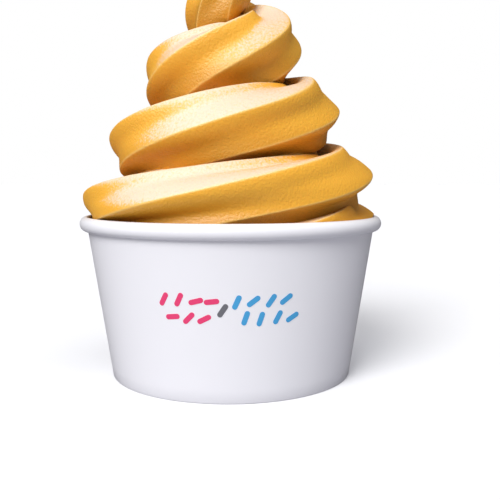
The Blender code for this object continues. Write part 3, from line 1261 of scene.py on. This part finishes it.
    def mark_hollows(self, mesh: bpy.types.Mesh) -> None:
        """Store how enclosed each point is by the swirl and the cup, as the mask of the painted
        shade in the hollows.

        Args:
            mesh: The finished swirl.
        """
        wall = self.cup.wall_mesh()
        points = [vertex.co for vertex in mesh.vertices] + [vertex.co for vertex in wall.vertices]
        first = len(mesh.vertices)
        faces = [tuple(polygon.vertices) for polygon in mesh.polygons]
        faces += [tuple(first + i for i in polygon.vertices) for polygon in wall.polygons]
        tree = BVHTree.FromPolygons(points, faces)
        bpy.data.meshes.remove(wall)
        rays = upward_rays(self.hollow_rays)
        closed = []
        for vertex in mesh.vertices:
            normal = vertex.normal
            start = vertex.co + normal * self.hollow_off
            turn = normal.to_track_quat("Z", "Y")
            share = 0.0
            for ray in rays:
                distance = tree.ray_cast(start, turn @ ray, self.hollow_reach)[3]
                if distance is not None:
                    share += 1.0 - distance / self.hollow_reach
            over = share / self.hollow_rays - self.hollow_start
            closed.append(held(over / (self.hollow_full - self.hollow_start)))
        layer = mesh.attributes.new("hollow", "FLOAT", "POINT")
        layer.data.foreach_set("value", self.softened(mesh, closed))

    def softened(self, mesh: bpy.types.Mesh, values: Sequence[float]) -> np.ndarray:
        """Even out a value of each point, so that no single point stands out at a seam.

        Args:
            mesh: The mesh.
            values: One value for each of its points.

        Returns:
            The values, averaged with their neighbours' a few times.
        """
        edges = np.empty(2 * len(mesh.edges), dtype=np.int32)
        mesh.edges.foreach_get("vertices", edges)
        ends = (edges[0::2], edges[1::2])
        soft = np.asarray(values, dtype=np.float64)
        total = len(soft)
        neighbours = np.maximum(sum(np.bincount(end, minlength=total) for end in ends), 1)
        for _ in range(self.soft_passes):
            around = sum(np.bincount(end, weights=soft[other], minlength=total)
                         for end, other in (ends, ends[::-1]))
            soft = 0.5 * (soft + around / neighbours)
        return soft

    def build(self) -> bpy.types.Object:
        """Build the yogurt in place of its CAD node.

        Returns:
            The filling, the core, the web and the rope as one closed piece.
        """
        material = GOLDEN_YOGURT.material()
        tube = RibbedTube()
        rope = tube.sweep("rope", self.stations(self.last_turn, self.rope_station), material)
        web = tube.sweep("web", self.stations(self.web_last_turn, self.web_station), material,
                         steps_per_ridge=4, groove_depth=0.0, tallness=1.0, waver=0.0, ripple=0.0)
        yogurt = new_object("yogurt_swirl", self.filling_mesh())
        yogurt.data.materials.append(material)
        self.combine(yogurt, web, "UNION")
        self.combine(yogurt, rope, "UNION")
        self.combine(yogurt, new_object("clearance", self.clearance_mesh()), "DIFFERENCE")
        self.keep_outer_skin(yogurt.data)
        # Painted shade in the hollows, from how enclosed each point is.
        self.mark_hollows(yogurt.data)
        yogurt.data.materials.clear()
        yogurt.data.materials.append(material)
        smooth(yogurt.data, self.sharp_deg)
        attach(yogurt, BODY)
        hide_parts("yogurt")
        return yogurt


@dataclass
class SprinklePrint:
    """The cup's plain print: scattered sprinkles, flush on the wall and bent to its curve."""

    cup: PaperCup
    length: float = 4.2 * MM
    width: float = 1.5 * MM
    proud: float = 0.06 * MM
    sunk: float = 0.06 * MM
    columns: int = 20
    upper: float = 29.7 * MM
    lower: float = 24.8 * MM
    spacing: float = 4.6 * MM
    jitter: float = 0.25 * MM
    turn: float = math.radians(38.0)
    turn_spread: float = math.radians(40.0)
    seed: int = 11
    weld: float = 0.001 * MM
    sharp_deg: float = 30.0
    starts: dict[Ink, float] = field(default_factory=lambda: {
        Ink.PINK: -18.9 * MM, Ink.GREY: -2.6 * MM, Ink.BLUE: 1.3 * MM})
    counts: dict[Ink, int] = field(default_factory=lambda: {Ink.PINK: 7, Ink.GREY: 1, Ink.BLUE: 8})

    def sprinkle_mesh(self) -> bpy.types.Mesh:
        """Shape one flat sprinkle with round ends, lying along X with its face towards Z.

        Returns:
            The sprinkle's mesh.
        """
        shape = bmesh.new()
        half = 0.5 * self.width
        straight = 0.5 * self.length - half
        rows = []
        for i in range(self.columns + 1):
            angle = math.pi * i / self.columns
            x = -straight * math.cos(angle) - half * math.cos(angle)
            over = max(abs(x) - straight, 0.0)
            y = math.sqrt(max(half**2 - over**2, 0.0))
            rows.append([shape.verts.new((x, side * y, z))
                         for z in (self.proud, -self.sunk) for side in (-1, 0, 1)])
        for row, after in zip(rows, rows[1:]):
            for a, b in ((0, 1), (1, 2), (2, 5), (5, 4), (4, 3), (3, 0)):
                shape.faces.new((row[a], after[a], after[b], row[b]))
        for row in (rows[0], rows[-1]):
            shape.faces.new((row[0], row[1], row[4], row[3]))
            shape.faces.new((row[1], row[2], row[5], row[4]))
        bmesh.ops.remove_doubles(shape, verts=shape.verts, dist=self.weld)
        bmesh.ops.dissolve_degenerate(shape, edges=shape.edges, dist=self.weld)
        return closed_mesh(shape, bpy.data.meshes.new("sprinkle"))

    def write_tree(self) -> bpy.types.NodeTree:
        """Write the tree: a sprinkle on each point, each turned a little differently, bent to the wall.

        Returns:
            The tree. Its guide lies flat: X runs round the cup and Y is the height.
        """
        inputs = {"Guide": "Geometry", "Sprinkle": "Object", "Seed": "Int", "Jitter": "Float",
                  "Turn": "Float", "Turn Spread": "Float", "Wall Radius at Table": "Float",
                  "Wall Slope": "Float", "Bend Radius": "Float", "Material": "Material"}
        tree = new_tree("Bent Sprinkles", "GeometryNodeTree", inputs, {"Print": "Geometry"})
        sheet = NodeSheet(tree)
        given = sheet.terms("NodeGroupInput")

        swing = sheet.add("FunctionNodeRandomValue",
                          {"Seed": given["Seed"], 0: (-1.0, -1.0, 0.0), 1: (1.0, 1.0, 0.0)},
                          data_type="FLOAT_VECTOR")
        offset = sheet.scaled(swing.outputs[0], given["Jitter"])
        spread = sheet.add("GeometryNodeSetPosition", {"Geometry": given["Guide"], "Offset": offset})
        tilt = sheet.add("FunctionNodeRandomValue", {"Seed": given["Seed"] + 1.0, 2: -1.0, 3: 1.0},
                         data_type="FLOAT")
        heading = given["Turn"] + Term(sheet, tilt.outputs[1]) * given["Turn Spread"]
        turn = sheet.add("ShaderNodeCombineXYZ", {"Z": heading}).outputs[0]
        shape = sheet.add("GeometryNodeObjectInfo", {"Object": given["Sprinkle"]})
        placed = sheet.add("GeometryNodeInstanceOnPoints", {
            "Points": spread.outputs[0], "Instance": shape.outputs["Geometry"], "Rotation": turn})
        real = sheet.add("GeometryNodeRealizeInstances", {"Geometry": placed.outputs[0]})

        position = sheet.add("GeometryNodeInputPosition").outputs[0]
        flat = sheet.terms("ShaderNodeSeparateXYZ", {0: position})
        reach = given["Wall Radius at Table"] + flat["Y"] * given["Wall Slope"] + flat["Z"]
        angle = flat["X"] / given["Bend Radius"]
        bent = sheet.add("ShaderNodeCombineXYZ", {
            "X": reach * sheet.maths("SINE", angle),
            "Y": reach * sheet.maths("COSINE", angle) * -1.0, "Z": flat["Y"]}).outputs[0]
        wrapped = sheet.add("GeometryNodeSetPosition", {"Geometry": real.outputs[0], "Position": bent})
        dressed = sheet.add("GeometryNodeSetMaterial",
                            {"Geometry": wrapped.outputs[0], "Material": given["Material"]})
        sheet.add("NodeGroupOutput", {"Print": dressed.outputs[0]})
        return tree

    def places(self, ink: Ink) -> list[tuple[float, float, float]]:
        """Place an ink's sprinkles on the flat guide, in two staggered rows.

        Args:
            ink: The ink.

        Returns:
            Their places; a single sprinkle lies between the rows.
        """
        if self.counts[ink] == 1:
            return [(self.starts[ink], 0.5 * (self.upper + self.lower), 0.0)]
        points = []
        for i in range(self.counts[ink]):
            height = self.upper if i % 2 == 0 else self.lower
            points.append((self.starts[ink] + 0.5 * self.spacing * i, height, 0.0))
        return points

    def build(self) -> list[bpy.types.Object]:
        """Build one printed piece for each ink.

        Returns:
            The printed pieces.
        """
        tree = self.write_tree()
        sprinkle = new_object("sprinkle", self.sprinkle_mesh())
        slope = (self.cup.wall_at_rim - self.cup.wall_at_table) / self.cup.wall_top
        pieces = []
        for number, ink in enumerate(Ink):
            guide = bpy.data.meshes.new("print_guide")
            guide.from_pydata(self.places(ink), [], [])
            inputs = {"Sprinkle": sprinkle, "Seed": self.seed + number, "Jitter": self.jitter,
                      "Turn": self.turn, "Turn Spread": self.turn_spread,
                      "Wall Radius at Table": self.cup.wall_at_table, "Wall Slope": slope,
                      "Bend Radius": self.cup.wall_radius(0.5 * (self.upper + self.lower)),
                      "Material": ink.finish().material()}
            mesh = run_nodes(f"print_{ink.name.lower()}", guide, tree, inputs)
            smooth(mesh, self.sharp_deg)
            piece = new_object(mesh.name, mesh)
            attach(piece, BODY)
            pieces.append(piece)
        bpy.data.objects.remove(sprinkle)
        return pieces


@dataclass(frozen=True)
class SoftSun:
    """A wide, soft light that falls evenly on the whole floor."""

    name: str
    azimuth_deg: float
    elevation_deg: float
    strength: float
    spread_deg: float
    sheen_only: bool = False

    def build(self) -> bpy.types.Object:
        """Add the light; azimuth 0 is the front and 90 the right.

        Returns:
            The light.
        """
        data = bpy.data.lights.new(self.name, "SUN")
        data.energy = self.strength
        data.angle = math.radians(self.spread_deg)
        light = new_object(self.name, data)
        light.visible_diffuse = not self.sheen_only
        azimuth = math.radians(self.azimuth_deg)
        elevation = math.radians(self.elevation_deg)
        away = Vector((math.sin(azimuth) * math.cos(elevation),
                       -math.cos(azimuth) * math.cos(elevation), math.sin(elevation)))
        light.location = away
        light.rotation_euler = (-away).to_track_quat("-Z", "Y").to_euler()
        return light


@dataclass
class Studio:
    """The pale floor, the even surround, the lights and the camera."""

    floor_reach: float = 8.0
    lens_mm: float = 50.0
    sensor_mm: float = 36.0
    camera_distance: float = 226.03 * MM
    camera_height: float = 62.2 * MM
    pitch_deg: float = 5.807
    yaw_deg: float = 1.547
    ambient: float = 0.38
    ambient_color: Color = (0.93, 0.94, 1.0)
    mirrored: float = 0.05
    mirrored_color: Color = (1.0, 0.9, 0.75)
    backdrop: float = 1.0
    backdrop_color: Color = (1.0, 1.0, 1.0)
    lights: tuple[SoftSun, ...] = (
        SoftSun("key_light", -27.0, 39.0, 2.8, 30.0),
        SoftSun("top_light", 30.0, 70.0, 0.8, 50.0),
        SoftSun("sheen_light", -58.0, 42.0, 2.0, 60.0, sheen_only=True),
    )

    def build_floor(self) -> bpy.types.Object:
        """Build the wide, plain floor.

        Returns:
            The floor.
        """
        reach = self.floor_reach
        mesh = bpy.data.meshes.new("floor")
        corners = [(x * reach, y * reach, 0.0) for x, y in ((-1, -1), (1, -1), (1, 1), (-1, 1))]
        mesh.from_pydata(corners, [], [(0, 1, 2, 3)])
        mesh.materials.append(PALE_FLOOR.material())
        floor = new_object("floor", mesh)
        floor.visible_glossy = False
        return floor

    def build_world(self) -> None:
        """Light the scene evenly from all round, in front of a pale surround, with dim reflections."""
        world = bpy.data.worlds.new("studio")
        world.use_nodes = True
        sheet = NodeSheet(world.node_tree)
        ambient = world.node_tree.nodes["Background"]
        sheet.feed(ambient.inputs["Color"], (*self.ambient_color, 1.0))
        sheet.feed(ambient.inputs["Strength"], self.ambient)
        shown = ambient
        for ray, color, strength in (("Is Glossy Ray", self.mirrored_color, self.mirrored),
                                     ("Is Camera Ray", self.backdrop_color, self.backdrop)):
            seen = sheet.terms("ShaderNodeLightPath")[ray]
            other = sheet.add("ShaderNodeBackground", {"Color": (*color, 1.0), "Strength": strength})
            shown = sheet.add("ShaderNodeMixShader", {0: seen, 1: shown.outputs[0], 2: other.outputs[0]})
        sheet.feed(world.node_tree.nodes["World Output"].inputs["Surface"], shown.outputs[0])
        bpy.context.scene.world = world

    def build_camera(self) -> bpy.types.Object:
        """Build the camera at the photograph's viewing angle.

        Returns:
            The camera.
        """
        data = bpy.data.cameras.new("camera")
        data.lens = self.lens_mm
        data.sensor_width = self.sensor_mm
        camera = new_object("camera", data)
        pitch = math.radians(self.pitch_deg)
        yaw = math.radians(self.yaw_deg)
        forward = Vector((math.sin(yaw) * math.cos(pitch), math.cos(yaw) * math.cos(pitch),
                          -math.sin(pitch)))
        camera.location = (0.0, -self.camera_distance, self.camera_height)
        camera.rotation_euler = forward.to_track_quat("-Z", "Y").to_euler()
        bpy.context.scene.camera = camera
        return camera

    def build(self) -> None:
        """Build the whole studio."""
        self.build_floor()
        self.build_world()
        for light in self.lights:
            light.build()
        self.build_camera()
        bpy.context.scene.view_settings.view_transform = "Standard"


def triangle_count(piece: bpy.types.Object) -> int:
    """Return how many triangles a piece has."""
    return sum(len(polygon.vertices) - 2 for polygon in piece.data.polygons)


def report(pieces: Sequence[bpy.types.Object]) -> None:
    """Log each piece's triangles and box.

    Args:
        pieces: The finished pieces.
    """
    for piece in pieces:
        points = np.array([vertex.co for vertex in piece.data.vertices]) / MM
        low = np.round(points.min(0), 2).tolist()
        high = np.round(points.max(0), 2).tolist()
        log.info("%s: %d triangles, box %s to %s mm", piece.name, triangle_count(piece), low, high)


def main() -> None:
    """Build the cup, the yogurt, the print and the studio, in that order."""
    logging.basicConfig(level=logging.INFO, format="%(name)s %(message)s")
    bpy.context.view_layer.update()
    cup = PaperCup()
    report(cup.build())
    report([YogurtSwirl(cup).build()])
    report(SprinklePrint(cup).build())
    Studio().build()


if __name__ == "__main__":
    main()
